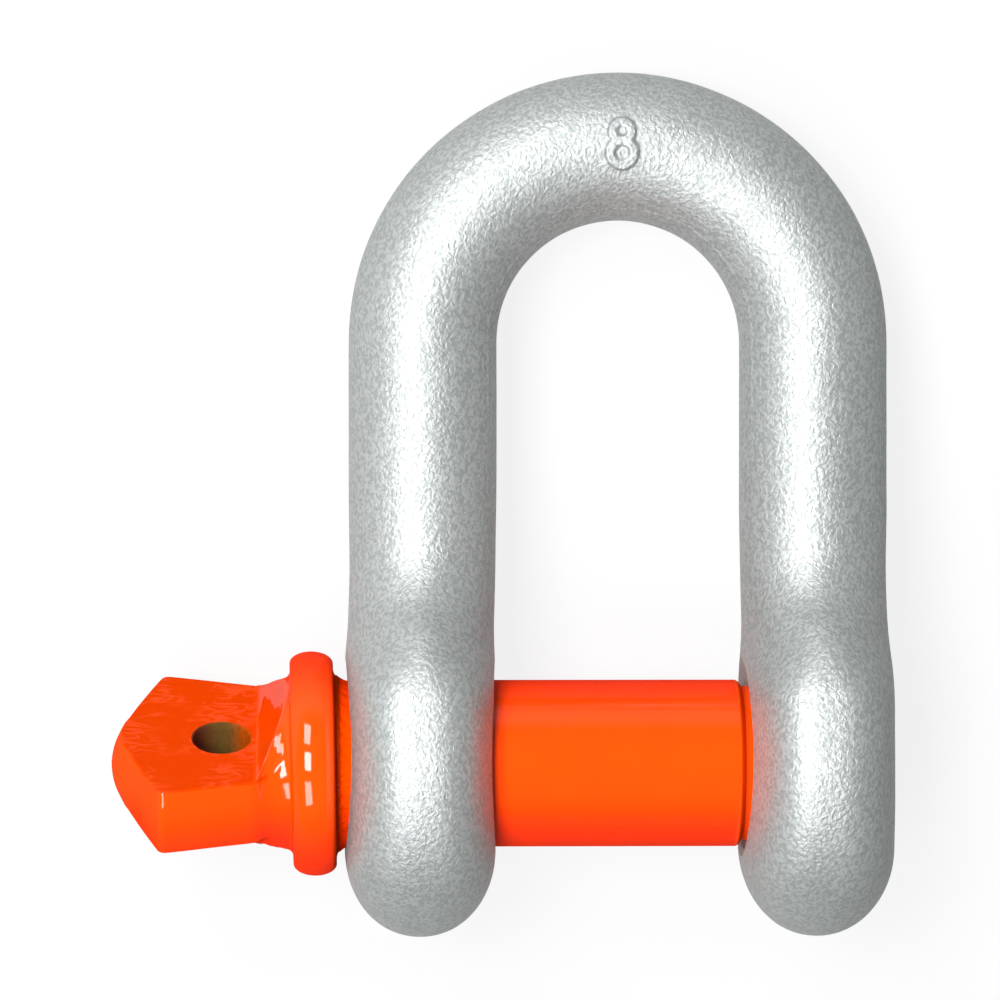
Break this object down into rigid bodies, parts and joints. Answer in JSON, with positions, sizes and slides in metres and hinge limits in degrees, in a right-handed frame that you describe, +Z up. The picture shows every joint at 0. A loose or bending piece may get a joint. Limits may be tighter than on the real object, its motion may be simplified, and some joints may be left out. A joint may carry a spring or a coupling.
{
  "type": "chain shackle",
  "caption": "D-shaped chain joining shackle of round galvanised bar with forged ears and a painted screw pin that has a collar and a flattened, pierced head.",
  "frame": {"origin": "centre of the bounding box's base, on the floor that both ears and the crown rest on", "axes": "+X along the pin, from its head to its threaded end; +Y from the ears towards the crown, as laid flat; +Z up from the floor"},
  "size_m": [0.1026, 0.1126, 0.0456],
  "materials": {
    "galvanised": "hot-dip galvanised forged steel, matt grey with a fine grain",
    "orange_paint": "glossy orange paint on forged and machined steel"
  },
  "bodies": {
    "shackle_bow": {"bow": "galvanised"},
    "pin": {"screw_pin": "orange_paint"}
  },
  "joints": [
    {"name": "pin_slide", "type": "slide", "parent": "shackle_bow", "child": "pin", "axis": [-1, 0, 0], "range_m": [0, 0.075]}
  ]
}
